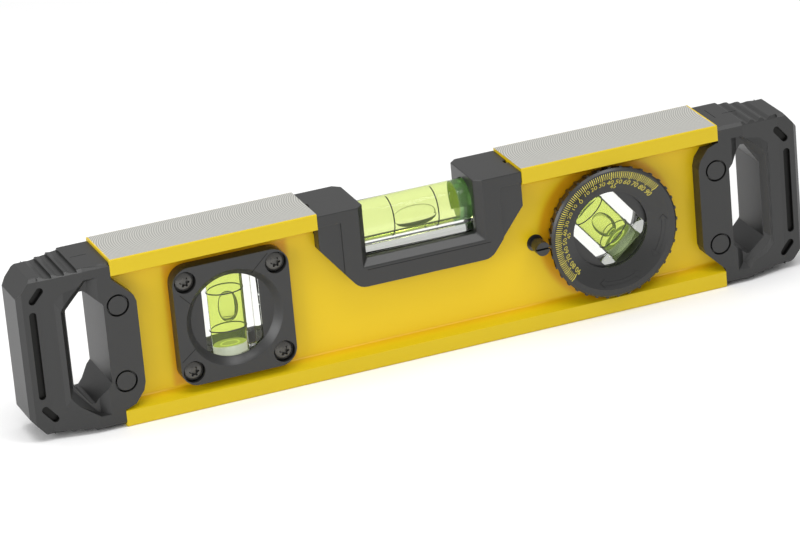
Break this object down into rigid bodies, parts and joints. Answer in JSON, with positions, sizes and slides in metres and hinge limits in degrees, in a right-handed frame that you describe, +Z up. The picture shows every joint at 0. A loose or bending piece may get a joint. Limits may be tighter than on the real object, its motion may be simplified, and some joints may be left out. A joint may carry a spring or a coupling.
{
  "type": "pocket spirit level",
  "caption": "Short I-beam spirit level with end caps that have hand holes, a level vial in an open housing, a framed plumb vial and a turning angle dial.",
  "frame": {"origin": "middle of the lower working face, halfway along the level and halfway through its width", "axes": "+X runs along the level from the plumb vial to the angle dial, +Y from the face in the picture towards the hidden face, +Z up from the lower to the upper working face"},
  "size_m": [0.2526, 0.0248, 0.0533],
  "materials": {
    "yellow_coat": "satin yellow powder coat on aluminium, top rails milled bare",
    "black_plastic": "fine grained moulding",
    "clear_acrylic": "clear polished acrylic",
    "vial_fluid": "clear yellow-green liquid",
    "black_steel": "black oxide",
    "bare_steel": "turned",
    "bearing_plastic": "smooth acetal"
  },
  "bodies": {
    "body": {"beam": "yellow_coat", "left_end_cap": "black_plastic", "right_end_cap": "black_plastic", "left_upper_rivet": "black_plastic", "left_lower_rivet": "black_plastic", "right_upper_rivet": "black_plastic", "right_lower_rivet": "black_plastic", "centre_housing": "black_plastic", "centre_vial": "clear_acrylic", "centre_fluid": "vial_fluid", "centre_plug": "clear_acrylic", "plumb_frame_front": "black_plastic", "plumb_frame_back": "black_plastic", "plumb_vial": "clear_acrylic", "plumb_fluid": "vial_fluid", "plumb_plug": "clear_acrylic", "plumb_screw_1": "black_steel", "plumb_screw_2": "black_steel", "plumb_screw_3": "black_steel", "plumb_screw_4": "black_steel", "dial_bush": "bearing_plastic", "lock_insert": "bare_steel"},
    "dial": {"dial_front": "black_plastic", "dial_back": "black_plastic", "dial_dowel_upper": "bare_steel", "dial_dowel_lower": "bare_steel", "dial_vial": "clear_acrylic", "dial_fluid": "vial_fluid", "dial_plug": "clear_acrylic"},
    "lock_knob": {"lock_screw": "black_plastic"}
  },
  "joints": [
    {"name": "dial_turn", "type": "hinge", "parent": "body", "child": "dial", "pos_m": [0.0613, 0, 0.02665], "axis": [0, -1, 0], "continuous": true},
    {"name": "lock_turn", "type": "hinge", "parent": "body", "child": "lock_knob", "pos_m": [0.03755, 0, 0.02665], "axis": [0, -1, 0], "range_deg": [0, 180]}
  ]
}
